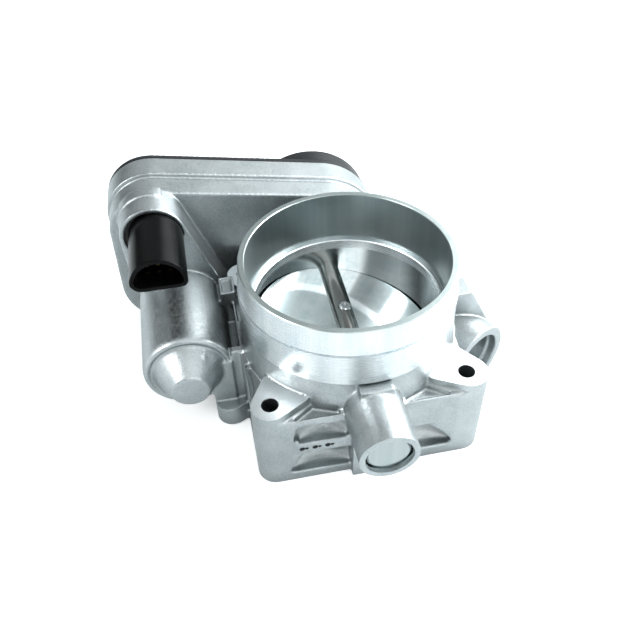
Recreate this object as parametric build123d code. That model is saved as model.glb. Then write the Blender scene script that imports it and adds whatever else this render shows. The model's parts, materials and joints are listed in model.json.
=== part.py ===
from build123d import *
import math
import os

# Electronic throttle body. Millimetres and degrees.
# Origin: bore axis at the underside of the manifold flange. +Z runs up the bore to the air intake,
# +Y runs along the throttle shaft towards the gear housing, +X is the side port's side.

# Bore and intake collar
BORE_R = 39.5
COLLAR_INNER_R = 41.4
COLLAR_R = 45.3
RIM_R = 44.0
TOP_Z = 78.0
BORE_TOP_Z = 54.3
COLLAR_FOOT_Z = 50.9
GROOVE_Z = 66.0
GROOVE_DEPTH = 0.6
NECK_R = 44.2
SKIRT_R = 46.3
BARREL_R = 43.8

# Manifold flange
BOLT_X = 40.0
BOLT_Y = 40.0
BOLT_HOLE_R = 3.5
BOSS_TOP_Z = 42.0
LEDGE_Z = 38.2
LEFT_COLUMN_R = 7.6
RIGHT_COLUMN_R = 8.0
RIGHT_COLUMN_X = 41.0
FLOOR_Z = 4.6
HIGH_POCKET = [(-33.0, 23.2), (-10.0, 23.2), (-10.0, 34.2), (-31.0, 34.2)]
LOW_POCKET = [(-35.5, FLOOR_Z), (-8.0, FLOOR_Z), (-8.0, 16.8), (-28.5, 16.8)]
ARCHED_POCKET = [(10.0, 5.6), (36.5, 5.6), (31.0, 12.0), (24.5, 17.5), (18.0, 18.5), (10.0, 15.5)]
POCKET_ROUND = 1.6
TOP_RECESS = [(13.4, -46.4), (32.6, -46.4), (23.4, -40.2), (13.4, -44.2)]
GUSSET_INNER = 31.6
GUSSET_INNER_R = 10.8
POCKET_BACK_Y = -24.0
SCOOP_X = 22.5
SCOOP_R = 30.0
SCOOP_DEPTH = 3.0
SCOOP_Z = (5.6, 36.4)
TOP_RECESS_DEPTH = 2.4
STRIP_Z = 20.2
STRIP_END_X = -32.2
PIT_XS = (-29.4, -24.1, -18.9)
PIT_R = 1.15
SMALL_PIT_R = 0.7
SMALL_PIT_DX = 1.9
PIT_DEPTH = 1.6

# Throttle shaft and plate
SHAFT_Z = 37.3
SHAFT_R = 5.0
RUNNING_GAP = 0.05
REST_TILT = 12.9
CLOSED_TILT = 5.0
PLATE_THICKNESS = 2.0
PLATE_GAP = 0.06
PLATE_SCREW_YS = (8.0, -11.0)
PLATE_SCREW_HEAD_R = 2.8
PLATE_SCREW_R = 1.75
SCREW_SEAT = 3.6
SHAFT_FRONT_Y = -62.5
SHAFT_BACK_Y = 83.2
SHAFT_END_R = 3.0

# Front shaft boss
BOSS_END_Y = -70.2
BOSS_R = 11.84
BOSS_ROOT_X = 9.0
BOSS_ROOT_Y = (-51.0, -40.0)
TAB_X = (-6.2, 7.2)
TAB_Y = (-49.2, -42.0)
TAB_Z = (45.0, 50.2)
PLUG_R = 9.57
PLUG_SEAT_Y = -65.5
BEARING_R = 8.0
BEARING_BACK_Y = -50.0
SEAL_R = 7.0
SEAL_LENGTH = 4.0

# Rear shaft bearing
REAR_BEARING_R = 11.0
REAR_BEARING_Y = 52.0
REAR_BEARING_WIDTH = 7.0
REAR_NECK_R = 13.5
RACE_OUTER_R = 9.1
RACE_INNER_R = 6.9
BALL_R = 1.75
BALL_CIRCLE_R = 8.0

# Gear housing
WALL_Y = 55.0
FLOOR_Y = 59.0
STEP_Y = 67.0
RIM_Y = 69.0
JOINT_Y = 82.0
SHELL_WALL = 3.0
WALL_INSET = 1.0
GROOVE_INSET = 2.0
CORNER_X = -76.6
CORNER_Z = 62.4
CORNER_R = 21.0
MOTOR_CORNER_R = 26.4
IDLER_CORNER_R = 33.0
SHAFT_CORNER_R = 32.5
EAR_R = 6.0
COVER_BOSS_R = 3.6

# Gears
MODULE = 1.0
PINION_TEETH = 13
IDLER_LARGE_TEETH = 56
IDLER_SMALL_TEETH = 18
SECTOR_TEETH = 54
PRESSURE_ANGLE = 20.0
ADDENDUM = 0.8
DEDENDUM = 1.1
BACKLASH = 0.12
TRAIN_ANGLE = 185.3
PINION_Y = (59.6, 64.6)
IDLER_LARGE_Y = (60.0, 64.2)
IDLER_SMALL_Y = (64.2, 78.0)
SECTOR_Y = (71.4, 77.4)
HUB_Y = (64.6, 78.4)
HUB_R = 9.0
ARM_WIDTH = 8.0
STOP_X = 17.0
STOP_Y = 74.4
STOP_R = 2.0
STOP_BOSS_R = 4.0
STOP_BOSS_Z = (54.0, 64.0)
STOP_BORE_TOP_Z = 62.2
OPEN_STOP_X = (2.4, 7.5)
OPEN_STOP_Z = (53.0, 68.0)
SECTOR_START = 164.0
SECTOR_END = 278.0
AXLE_R = 2.95

# Motor
MOTOR_HOUSING_R = 19.3
MOTOR_CAN_R = 17.0
MOTOR_FIT = 0.2
CAN_FRONT_Y = -1.0
CAN_BACK_Y = 54.5
CAN_WALL = 1.5
DOME_END_Y = -17.2
DOME_FLAT_R = 7.6
MOTOR_SHAFT_R = 1.6
MOTOR_BUSH_R = 4.0
MOTOR_FLANGE_Y = (56.5, 59.0)

# Connector
PLUG_X = -75.4
PLUG_Z = 70.4
PLUG_ARC_R = 11.6
PLUG_FOOT_Z = 66.9
PLUG_END_Y = 8.0
PLUG_SHOULDER_Y = 53.5
PLUG_NECK_Z = 72.6
SOCKET_DEPTH = 20.0
BLADE_SETBACK = 12.0
BLADE_PITCH = 4.6
BLADE_ROW = 2.2
BLADE_SIZE = (1.5, 0.8)
PLUG_WALL = 1.8
HOOD_X = -76.7
HOOD_Z = 70.1
HOOD_R = 14.2
HOOD_BORE_R = 12.2
HOOD_FRONT_Y = 39.5
HOOD_FOOT_R = 3.8
HOOD_LEFT_FOOT = (-86.0, 44.0)
HOOD_RIGHT_FOOT = (-50.9, 30.0)
HOOD_RIB = 0.7
HOOD_RIB_Y = 50.0
HOOD_RIB_END_X = -70.6

# Webs between the motor tube and the flange
BLOCK_SIDE_X = -46.0
WEB_X = -51.0
WEB_TOP_Z = 26.0
PLATE_X = -51.7
PLATE_TOP_Z = 39.0
WEB_FRONT_Y = -2.5
CHEEK_X = -61.5
LOCATING_BLOCK = ((-52.3, 26.0, 20.0), (-45.5, 37.5, 44.0))
LOCATING_RECESS = ((-51.2, 27.1, 42.6), (-46.6, 36.4, 46.0))
REAR_WEB_Z = (18.0, 22.5)
REAR_WEB_XS = (-28.0, 24.0)
REAR_WEB_HALF = 2.2

# Gear cover
GASKET_THICKNESS = 0.6
COVER_FLANGE = 3.2
COVER_BULGE_INSET = 9.0
COVER_BULGE_Y = 87.0
COVER_WALL = 2.2
DOME_R = 31.6
DOME_ROUND = 3.4
COVER_DOME_Y = 97.5
COVER_SCREW_R = 1.5
COVER_SCREW_HEAD_R = 3.0
COVER_SCREW_LENGTH = 12.0
COVER_SCREWS = [(-88.2, 73.3), (-40.0, 72.5), (28.8, 20.6), (-17.5, 7.0), (-86.0, 16.0)]
EAR_SCREW = 2

# Side port
PORT_X = 55.8
PORT_Y = -17.6
PORT_Z = 20.0
PORT_ANGLE = -58.8
PORT_R = 13.7
PORT_LIP_R = 17.8
PORT_DEPTH = 4.2
PORT_STEP_R = 12.9
PORT_THROUGH = 24.0
PIPE_CLEARANCE_R = 15.6
PORT_WEB = [(36.0, 0.0), (60.0, 0.0), (68.0, 14.0), (68.5, 24.0), (55.0, 49.5), (36.0, 49.5)]
PORT_WEB_Y = (-4.0, 7.0)
PORT_SADDLE_Y = (-30.5, 2.0)


def polar(radius, angle):
    """A point at a distance and an angle, in degrees, from the origin."""
    return (radius * math.cos(math.radians(angle)), radius * math.sin(math.radians(angle)))


IDLER_DISTANCE = MODULE * (IDLER_SMALL_TEETH + SECTOR_TEETH) / 2
PINION_DISTANCE = MODULE * (PINION_TEETH + IDLER_LARGE_TEETH) / 2
IDLER_X = polar(IDLER_DISTANCE, TRAIN_ANGLE)[0]
IDLER_Z = SHAFT_Z + polar(IDLER_DISTANCE, TRAIN_ANGLE)[1]
MOTOR_X = IDLER_X + polar(PINION_DISTANCE, TRAIN_ANGLE)[0]
MOTOR_Z = IDLER_Z + polar(PINION_DISTANCE, TRAIN_ANGLE)[1]
COVER_Y = JOINT_Y + GASKET_THICKNESS


def across(sketch, start_y, end_y):
    """Extrude a sketch drawn in (x, z) along Y."""
    return extrude(Plane.XZ.offset(-start_y) * sketch, amount=start_y - end_y)


def rod(x, z, radius, start_y, end_y):
    """A round bar along Y."""
    return across(Pos(x, z) * Circle(radius), start_y, end_y)


def tube(x, z, outer_r, inner_r, start_y, end_y):
    """A round ring along Y."""
    return across(Pos(x, z) * (Circle(outer_r) - Circle(inner_r)), start_y, end_y)


def post(x, y, radius, low_z, high_z):
    """A round bar along Z."""
    return extrude(Pos(x, y, low_z) * Circle(radius), amount=high_z - low_z)


def slab(low, high):
    """A box between two opposite corners."""
    size = [high[i] - low[i] for i in range(3)]
    middle = [(high[i] + low[i]) / 2 for i in range(3)]
    return Pos(*middle) * Box(*size)


def polygon(points):
    """A filled outline with straight sides."""
    return make_face(Polyline(*points, close=True))


def turned(points, x=0.0, z=0.0):
    """A solid turned about a line along Y through (x, z), from (radius, y) points."""
    section = Plane.XY.offset(z) * polygon([(x + radius, y) for radius, y in points])
    return revolve(section, axis=Axis((x, 0, z), (0, 1, 0)))


def housing_outline(inset):
    """The gear housing's outline in (x, z), inset from its rim."""
    corners = [
        (CORNER_X, CORNER_Z, CORNER_R),
        (MOTOR_X - 2.0, MOTOR_Z, MOTOR_CORNER_R),
        (IDLER_X, IDLER_Z, IDLER_CORNER_R),
        (0.0, SHAFT_Z, SHAFT_CORNER_R),
    ]
    edges = ShapeList()
    for x, z, radius in corners:
        edges += (Pos(x, z) * Circle(radius - inset)).edges()
    outline = make_hull(edges)
    if inset < EAR_R:
        outline = outline + Pos(*COVER_SCREWS[EAR_SCREW]) * Circle(EAR_R - inset)
    return outline


def tooth(teeth, centre_angle):
    """Points of one involute tooth, root to root, about the gear's own centre."""
    pitch_r = MODULE * teeth / 2
    base_r = pitch_r * math.cos(math.radians(PRESSURE_ANGLE))
    root_r = pitch_r - DEDENDUM * MODULE
    tip_r = pitch_r + ADDENDUM * MODULE
    start_r = max(root_r, base_r)
    radii = [root_r] if root_r < base_r else []
    radii += [start_r + (tip_r - start_r) * step / 3 for step in range(4)]
    pitch_half = math.pi / (2 * teeth) - BACKLASH / (2 * pitch_r)
    pitch_roll = math.tan(math.radians(PRESSURE_ANGLE)) - math.radians(PRESSURE_ANGLE)
    flank = []
    for radius in radii:
        pressure = math.acos(min(1.0, base_r / radius))
        half = pitch_half + pitch_roll - (math.tan(pressure) - pressure)
        flank.append((radius, math.degrees(half)))
    rising = [polar(radius, centre_angle - half) for radius, half in flank]
    falling = [polar(radius, centre_angle + half) for radius, half in reversed(flank)]
    return rising + falling


def gear(teeth, phase):
    """A whole gear's outline with one tooth centred at the phase angle."""
    points = []
    for index in range(teeth):
        points += tooth(teeth, phase + 360.0 * index / teeth)
    return polygon(points)


def bolt_places():
    """The four manifold bolt places."""
    return [(x, y) for x in (-BOLT_X, BOLT_X) for y in (-BOLT_Y, BOLT_Y)]


def pocket_outlines():
    """The cast pockets in one side of the flange, drawn in (x, z)."""
    outlines = [polygon(points) for points in (HIGH_POCKET, LOW_POCKET, ARCHED_POCKET)]
    return [fillet(outline.vertices(), POCKET_ROUND) for outline in outlines]


def side_cuts():
    """Everything cast into one side of the flange: pockets, a shallow scoop and two recesses on top."""
    front = -BOLT_Y - RIGHT_COLUMN_R - 1.0
    cuts = [across(outline, front, POCKET_BACK_Y) for outline in pocket_outlines()]
    scoop_y = -BOLT_Y - RIGHT_COLUMN_R - SCOOP_R + SCOOP_DEPTH
    cuts.append(post(SCOOP_X, scoop_y, SCOOP_R, *SCOOP_Z))
    strip_end = Pos(STRIP_END_X, STRIP_Z) * RectangleRounded(2.6, 9.0, 1.2)
    cuts.append(across(strip_end, front, -BOLT_Y - 5.8))
    for side in (-1, 1):
        recess = polygon([(side * x, y) for x, y in TOP_RECESS])
        cuts.append(extrude(Pos(0, 0, LEDGE_Z - TOP_RECESS_DEPTH) * recess, amount=2 * TOP_RECESS_DEPTH))
    return cuts


def flange_block():
    """The manifold flange with its bolt columns and cast pockets, and the barrel inside it."""
    columns = ShapeList()
    for y in (-BOLT_Y, BOLT_Y):
        columns += (Pos(-BOLT_X, y) * Circle(LEFT_COLUMN_R)).edges()
        columns += (Pos(RIGHT_COLUMN_X, y) * Circle(RIGHT_COLUMN_R)).edges()
    block = extrude(make_hull(columns), amount=LEDGE_Z)
    cuts = []
    for turn in (0, 90, 180, 270):
        cuts += [Rot(0, 0, turn) * cut for cut in side_cuts()]
    cuts.append(extrude(port_plane(0) * Circle(PIPE_CLEARANCE_R), amount=40.0))
    cuts.append(slab((BARREL_R + 0.2, PORT_SADDLE_Y[0], PORT_Z), (BOLT_X + 12.0, PORT_SADDLE_Y[1], LEDGE_Z + 1.0)))
    barrel = extrude(Circle(BARREL_R), amount=LEDGE_Z)
    return block - cuts + barrel


def corner_gussets():
    """The raised flat pads that tie the bolt bosses to the barrel."""
    pads = []
    for sign_x, sign_y in ((-1, -1), (1, -1), (-1, 1), (1, 1)):
        centre_x = BOLT_X if sign_x < 0 else RIGHT_COLUMN_X
        radius = LEFT_COLUMN_R if sign_x < 0 else RIGHT_COLUMN_R
        pad = make_hull(
            (Pos(sign_x * centre_x, sign_y * BOLT_Y) * Circle(radius)).edges()
            + (Pos(sign_x * GUSSET_INNER, sign_y * GUSSET_INNER) * Circle(GUSSET_INNER_R)).edges()
        )
        pads.append(extrude(Pos(0, 0, LEDGE_Z) * pad, amount=BOSS_TOP_Z - LEDGE_Z))
    return pads


def collar_and_barrel():
    """The turned intake collar and the cast skirt below it."""
    outline = [
        (0, LEDGE_Z - 1.0),
        (SKIRT_R, LEDGE_Z - 1.0),
        (SKIRT_R, LEDGE_Z + 1.0),
        (NECK_R, COLLAR_FOOT_Z - 2.0),
        (NECK_R, COLLAR_FOOT_Z),
        (COLLAR_R - 0.4, COLLAR_FOOT_Z),
        (COLLAR_R, COLLAR_FOOT_Z + 0.4),
        (COLLAR_R, GROOVE_Z),
        (COLLAR_R - GROOVE_DEPTH, GROOVE_Z + 0.2),
        (COLLAR_R - GROOVE_DEPTH, GROOVE_Z + 0.8),
        (COLLAR_R - 0.15, GROOVE_Z + 1.0),
        (RIM_R + 0.2, TOP_Z - 0.3),
        (RIM_R, TOP_Z),
        (0, TOP_Z),
    ]
    return revolve(Plane.XZ * polygon(outline), axis=Axis.Z)


def motor_housing():
    """The cast motor tube with its rounded shoulder and domed end."""
    return turned(
        [
            (0, DOME_END_Y),
            (DOME_FLAT_R, DOME_END_Y),
            (DOME_FLAT_R + 0.5, DOME_END_Y + 0.3),
            (10.2, -13.6),
            (12.6, -9.6),
            (14.6, -6.4),
            (15.8, -5.2),
            (16.4, -5.4),
            (17.4, -6.2),
            (18.4, -5.8),
            (19.0, -4.8),
            (MOTOR_HOUSING_R, -3.2),
            (MOTOR_HOUSING_R, FLOOR_Y),
            (0, FLOOR_Y),
        ],
        MOTOR_X,
        MOTOR_Z,
    )


def gear_case():
    """The gear housing's shell, filled, with its groove and rim."""
    return [
        across(housing_outline(WALL_INSET), WALL_Y, STEP_Y),
        across(housing_outline(GROOVE_INSET), STEP_Y, RIM_Y),
        across(housing_outline(0.0), RIM_Y, JOINT_Y),
    ]


def connector_hood():
    """The cast arch round the connector with its slanted right side, and the rib over its back."""
    arch = (Pos(HOOD_X, HOOD_Z) * Circle(HOOD_R)).edges()
    left = (Pos(*HOOD_LEFT_FOOT) * Circle(HOOD_FOOT_R)).edges()
    right = (Pos(*HOOD_RIGHT_FOOT) * Circle(HOOD_FOOT_R)).edges()
    hood = across(make_hull(arch + left + right), HOOD_FRONT_Y, WALL_Y + 1.5)
    rib = Pos(HOOD_X, HOOD_Z) * Circle(HOOD_R + HOOD_RIB) - Pos(HOOD_RIB_END_X + 20.0, HOOD_Z) * Rectangle(40.0, 60.0)
    return [hood, across(rib, HOOD_RIB_Y, WALL_Y + 1.4)]


def port_plane(depth):
    """The plane across the side port at a depth behind its mouth, facing out."""
    direction = polar(1.0, PORT_ANGLE)
    origin = (PORT_X - depth * direction[0], PORT_Y - depth * direction[1], PORT_Z)
    return Plane(origin=origin, x_dir=(0, 0, 1), z_dir=(direction[0], direction[1], 0))


def side_port():
    """The cast tube of the side port and the web behind it."""
    lip = extrude(port_plane(0) * Circle(PORT_LIP_R), amount=-PORT_THROUGH)
    return [lip, across(polygon(PORT_WEB), *PORT_WEB_Y)]


def shaft_supports():
    """The front shaft boss with its tab, and the rear bearing's neck."""
    return [
        rod(0, SHAFT_Z, BOSS_R, BOSS_END_Y, -38.0),
        slab((-BOSS_ROOT_X, BOSS_ROOT_Y[0], 0.0), (BOSS_ROOT_X, BOSS_ROOT_Y[1], SHAFT_Z - 6.0)),
        slab((TAB_X[0], TAB_Y[0], TAB_Z[0]), (TAB_X[1], TAB_Y[1], TAB_Z[1])),
        rod(0, SHAFT_Z, REAR_NECK_R, 38.0, FLOOR_Y),
    ]


def casting_webs():
    """The webs that tie the motor tube and the gear housing to the flange, and the foot lug."""
    back = WALL_Y + 1.0
    webs = [
        slab((-48.0, 36.0, REAR_WEB_Z[0]), (28.0, back, REAR_WEB_Z[1])),
        slab((WEB_X, WEB_FRONT_Y, 6.0), (BLOCK_SIDE_X, back, WEB_TOP_Z)),
        slab((PLATE_X, -6.0, 6.0), (BLOCK_SIDE_X, WEB_FRONT_Y, PLATE_TOP_Z)),
        slab((CHEEK_X, -6.8, 8.0), (PLATE_X, WEB_FRONT_Y, 34.0)),
        slab(*LOCATING_BLOCK),
    ]
    for x in REAR_WEB_XS:
        webs.append(slab((x - REAR_WEB_HALF, 36.0, 6.0), (x + REAR_WEB_HALF, back, 40.0)))
    foot = make_hull((Pos(-54.6, -6.4) * Circle(6.9)).edges() + (Pos(-45.0, -3.0) * Circle(6.0)).edges())
    webs.append(extrude(foot, amount=10.0))
    return webs


def screw_bosses():
    """The cover screw bosses inside the gear housing."""
    return [rod(x, z, COVER_BOSS_R, WALL_Y + 2.0, JOINT_Y) for x, z in COVER_SCREWS]


def stop_bosses():
    """The block that the open sector gear meets, and the boss that holds the closed-stop screw."""
    low = (OPEN_STOP_X[0], WALL_Y + 2.0, OPEN_STOP_Z[0])
    high = (OPEN_STOP_X[1], SECTOR_Y[1], OPEN_STOP_Z[1])
    return [slab(low, high), post(STOP_X, STOP_Y, STOP_BOSS_R, *STOP_BOSS_Z)]


def stamp_pits():
    """Pairs of round pits, a large and a small one, on the front strip."""
    pits = []
    front = -BOLT_Y - LEFT_COLUMN_R - 1.0
    for x in PIT_XS:
        pits.append(rod(x, STRIP_Z, PIT_R, front, front + 1.0 + PIT_DEPTH))
        pits.append(rod(x + SMALL_PIT_DX, STRIP_Z, SMALL_PIT_R, front, front + 1.0 + PIT_DEPTH))
    return pits


def throttle_housing():
    """The one-piece aluminium casting."""
    body = flange_block() + corner_gussets() + [collar_and_barrel()]
    body = body + shaft_supports() + casting_webs() + side_port() + connector_hood()
    body = body + [motor_housing()] + gear_case()
    cavity = across(housing_outline(SHELL_WALL), FLOOR_Y, JOINT_Y)
    cavity = cavity - screw_bosses() - stop_bosses()
    body = body - [cavity]
    cuts = [
        post(0, 0, BORE_R, -1.0, TOP_Z + 1.0),
        post(0, 0, COLLAR_INNER_R, BORE_TOP_Z, TOP_Z + 1.0),
        rod(0, SHAFT_Z, SHAFT_R + RUNNING_GAP, BOSS_END_Y - 1, FLOOR_Y + 1),
        rod(0, SHAFT_Z, PLUG_R, BOSS_END_Y - 1, PLUG_SEAT_Y),
        rod(0, SHAFT_Z, BEARING_R, PLUG_SEAT_Y, BEARING_BACK_Y),
        rod(0, SHAFT_Z, SEAL_R, BEARING_BACK_Y, BEARING_BACK_Y + SEAL_LENGTH),
        rod(0, SHAFT_Z, REAR_BEARING_R, REAR_BEARING_Y, FLOOR_Y + 1),
        rod(0, SHAFT_Z, SEAL_R, REAR_BEARING_Y - SEAL_LENGTH, REAR_BEARING_Y),
        rod(MOTOR_X, MOTOR_Z, MOTOR_CAN_R + MOTOR_FIT, CAN_FRONT_Y - 0.2, FLOOR_Y + 1),
        rod(MOTOR_X, MOTOR_Z, 7.0, CAN_FRONT_Y - 9.0, 0.0),
        across(motor_flange_outline(0.2), MOTOR_FLANGE_Y[0], FLOOR_Y + 1),
        rod(IDLER_X, IDLER_Z, AXLE_R, WALL_Y + 1.0, FLOOR_Y + 1),
        across(plug_outline(0.0), HOOD_FRONT_Y - 1, PLUG_SHOULDER_Y),
        across(plug_neck(), PLUG_SHOULDER_Y - 1, FLOOR_Y + 1),
        rod(HOOD_X, HOOD_Z, HOOD_BORE_R, HOOD_FRONT_Y - 1, HOOD_FRONT_Y + 7.0),
        extrude(port_plane(-1) * Circle(PORT_R), amount=-PORT_DEPTH - 1),
        extrude(port_plane(0) * Circle(PORT_STEP_R), amount=-PORT_THROUGH + 2.0),
        post(STOP_X, STOP_Y, STOP_R, STOP_BOSS_Z[0] - 1.0, STOP_BORE_TOP_Z),
        slab(*LOCATING_RECESS),
    ]
    for x, z in COVER_SCREWS:
        cuts.append(rod(x, z, COVER_SCREW_R, JOINT_Y - COVER_SCREW_LENGTH, JOINT_Y + 1))
    for x, z in motor_screw_places():
        cuts.append(rod(x, z, 1.5, WALL_Y + 0.5, FLOOR_Y))
    for x, y in bolt_places():
        cuts.append(post(x, y, BOLT_HOLE_R, -1.0, BOSS_TOP_Z + 1.0))
    return body - cuts - stamp_pits()


def motor_screw_places():
    """Two screws through the motor's flange plate."""
    return [(MOTOR_X + dx, MOTOR_Z + dz) for dx, dz in (polar(19.6, 115.0), polar(19.6, 295.0))]


def motor_flange_outline(grow):
    """The motor's flange plate, with an ear for each screw."""
    edges = (Pos(MOTOR_X, MOTOR_Z) * Circle(MOTOR_CAN_R + grow)).edges()
    for x, z in motor_screw_places():
        edges += (Pos(x, z) * Circle(3.2 + grow)).edges()
    return make_hull(edges)


def plug_outline(inset):
    """The connector's D-shaped outline: a round top and a flat foot."""
    arc = PLUG_ARC_R - inset
    foot = PLUG_FOOT_Z + inset
    edges = (Pos(PLUG_X, PLUG_Z) * (Circle(arc) & Pos(0, 20.0) * Rectangle(60.0, 40.0))).edges()
    edges += (Pos(PLUG_X - PLUG_ARC_R + 5.0, foot + 5.0 - inset) * Circle(5.0 - inset)).edges()
    edges += (Pos(PLUG_X + PLUG_ARC_R - 3.0, foot + 3.0 - inset) * Circle(3.0 - inset)).edges()
    return make_hull(edges)


def plug_neck():
    """The outline of the connector's neck through the housing wall."""
    return Pos(PLUG_X, PLUG_NECK_Z) * RectangleRounded(16.0, 8.8, 1.0)


def shaft_end_plug():
    """The pressed steel cup that closes the front shaft boss."""
    return turned(
        [
            (0, -68.6),
            (7.9, -68.6),
            (8.6, -68.2),
            (8.9, -67.4),
            (9.0, -66.8),
            (9.2, -69.0),
            (PLUG_R, -69.0),
            (PLUG_R, PLUG_SEAT_Y),
            (8.3, PLUG_SEAT_Y),
            (7.8, -67.4),
            (0, -67.4),
        ],
        0,
        SHAFT_Z,
    )


def front_bearing_cup():
    """The drawn cup of the front needle bearing."""
    return tube(0, SHAFT_Z, BEARING_R, 6.6, BEARING_BACK_Y - 12.0, BEARING_BACK_Y)


def front_bearing_needles():
    """The needle rollers between the front cup and the shaft."""
    count = 16
    roller_r = 0.74
    circle_r = SHAFT_R + 0.04 + roller_r
    needles = []
    for index in range(count):
        dx, dz = polar(circle_r, 360.0 * index / count)
        needles.append(rod(dx, SHAFT_Z + dz, roller_r, BEARING_BACK_Y - 11.0, BEARING_BACK_Y - 1.0))
    return Compound(needles)


def front_shaft_seal():
    """The lip seal between the front bearing and the bore."""
    inner_r = SHAFT_R + RUNNING_GAP
    return tube(0, SHAFT_Z, SEAL_R, inner_r, BEARING_BACK_Y + 0.2, BEARING_BACK_Y + SEAL_LENGTH)


def rear_shaft_seal():
    """The lip seal between the bore and the rear bearing."""
    inner_r = SHAFT_R + RUNNING_GAP
    return tube(0, SHAFT_Z, SEAL_R, inner_r, REAR_BEARING_Y - SEAL_LENGTH, REAR_BEARING_Y - 0.2)


def ball_groove():
    """The ring that the rear bearing's balls run in."""
    middle_y = REAR_BEARING_Y + REAR_BEARING_WIDTH / 2
    return Pos(0, middle_y, SHAFT_Z) * Rot(90, 0, 0) * Torus(BALL_CIRCLE_R, BALL_R + 0.05)


def rear_bearing_outer_race():
    """The rear ball bearing's outer race."""
    end_y = REAR_BEARING_Y + REAR_BEARING_WIDTH
    return tube(0, SHAFT_Z, REAR_BEARING_R, RACE_OUTER_R, REAR_BEARING_Y, end_y) - ball_groove()


def rear_bearing_inner_race():
    """The rear ball bearing's inner race, which turns with the shaft."""
    end_y = REAR_BEARING_Y + REAR_BEARING_WIDTH
    return tube(0, SHAFT_Z, RACE_INNER_R, SHAFT_R, REAR_BEARING_Y, end_y) - ball_groove()


def rear_bearing_balls():
    """The rear ball bearing's balls."""
    count = 11
    middle_y = REAR_BEARING_Y + REAR_BEARING_WIDTH / 2
    balls = []
    for index in range(count):
        dx, dz = polar(BALL_CIRCLE_R, 360.0 * index / count)
        balls.append(Pos(dx, middle_y, SHAFT_Z + dz) * Sphere(BALL_R))
    return Compound(balls)


def tilted(solid):
    """Turn a solid made in the level position to the rest tilt about the shaft."""
    return Pos(0, 0, SHAFT_Z) * Rot(0, REST_TILT, 0) * solid


def throttle_shaft():
    """The shaft with its plate slot, screw seats and stepped gear end."""
    shaft = rod(0, 0, SHAFT_R, SHAFT_FRONT_Y, HUB_Y[1])
    end = rod(0, 0, SHAFT_END_R, HUB_Y[1], SHAFT_BACK_Y)
    slot = Box(4 * SHAFT_R, 2 * BORE_R, PLATE_THICKNESS)
    cuts = [slot]
    for y in PLATE_SCREW_YS:
        cuts.append(Pos(0, y, SCREW_SEAT + 2.0) * Cylinder(PLATE_SCREW_HEAD_R + 0.2, 4.0))
        cuts.append(Pos(0, y, 0) * Cylinder(PLATE_SCREW_R, 4 * SHAFT_R))
    return tilted(shaft + end - cuts)


def throttle_plate():
    """The oval plate, cut so that its edge lies along the bore when closed."""
    disc = Box(3 * BORE_R, 3 * BORE_R, PLATE_THICKNESS)
    bore = Rot(0, -CLOSED_TILT, 0) * Cylinder(BORE_R - PLATE_GAP, 6 * SHAFT_R)
    plate = disc & bore
    for y in PLATE_SCREW_YS:
        plate = plate - Pos(0, y, 0) * Cylinder(PLATE_SCREW_R, 4 * PLATE_THICKNESS)
    return tilted(plate)


def plate_screws():
    """The two cross-slot screws that clamp the plate in the shaft."""
    screws = []
    for y in PLATE_SCREW_YS:
        head = Pos(0, y, SCREW_SEAT + 1.0) * Cylinder(PLATE_SCREW_HEAD_R, 2.0)
        head = chamfer(head.edges().group_by(Axis.Z)[-1], 0.5)
        stem = Pos(0, y, (SCREW_SEAT - SHAFT_R) / 2) * Cylinder(PLATE_SCREW_R, SCREW_SEAT + SHAFT_R)
        cross = Pos(0, y, SCREW_SEAT + 2.0) * (Box(3.0, 0.7, 1.6) + Box(0.7, 3.0, 1.6))
        screws.append(tilted(head + stem - cross))
    return Compound(screws)


def sector_gear():
    """The toothed quadrant with its hub and its closed-stop arm."""
    points = [(0.0, 0.0)]
    index_step = 360.0 / SECTOR_TEETH
    for index in range(SECTOR_TEETH):
        centre = TRAIN_ANGLE + index_step * (index - 4)
        if SECTOR_START < centre - index_step and centre + index_step < SECTOR_END:
            points += tooth(SECTOR_TEETH, centre)
    blade = polygon(points)
    for angle in (200.0, 240.0):
        blade = blade - Pos(*polar(18.0, angle)) * Circle(4.0)
    blade = Pos(0, SHAFT_Z) * blade
    hub = Pos(0, SHAFT_Z) * Circle(HUB_R)
    arm_angle = CLOSED_TILT - REST_TILT
    arm = Pos(0, SHAFT_Z) * Rot(0, 0, arm_angle) * Pos(13.0, 0) * Rectangle(16.0, ARM_WIDTH)
    body = across(blade + hub + arm, *SECTOR_Y)
    sleeve = rod(0, SHAFT_Z, HUB_R, *HUB_Y)
    return body + sleeve - rod(0, SHAFT_Z, SHAFT_R, 50.0, 80.0)


def sector_nut():
    """The nut that holds the sector gear on the shaft."""
    nut = across(Pos(0, SHAFT_Z) * RegularPolygon(5.8, 6), HUB_Y[1], HUB_Y[1] + 3.0)
    return nut - rod(0, SHAFT_Z, SHAFT_END_R, HUB_Y[1] - 1, HUB_Y[1] + 4.0)


def return_spring():
    """The torsion spring round the sector gear's hub, with a leg at each end."""
    coil_r = 11.6
    wire_r = 0.7
    turns = 3
    pitch = 1.65
    path = Helix(pitch=pitch, height=pitch * turns, radius=coil_r)
    section = Plane(origin=path @ 0, z_dir=path % 0) * Circle(wire_r)
    coil = sweep(section, path=path, is_frenet=True)
    return Pos(0, HUB_Y[0] + 0.7, SHAFT_Z) * Rot(-90, 0, 0) * coil


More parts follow.
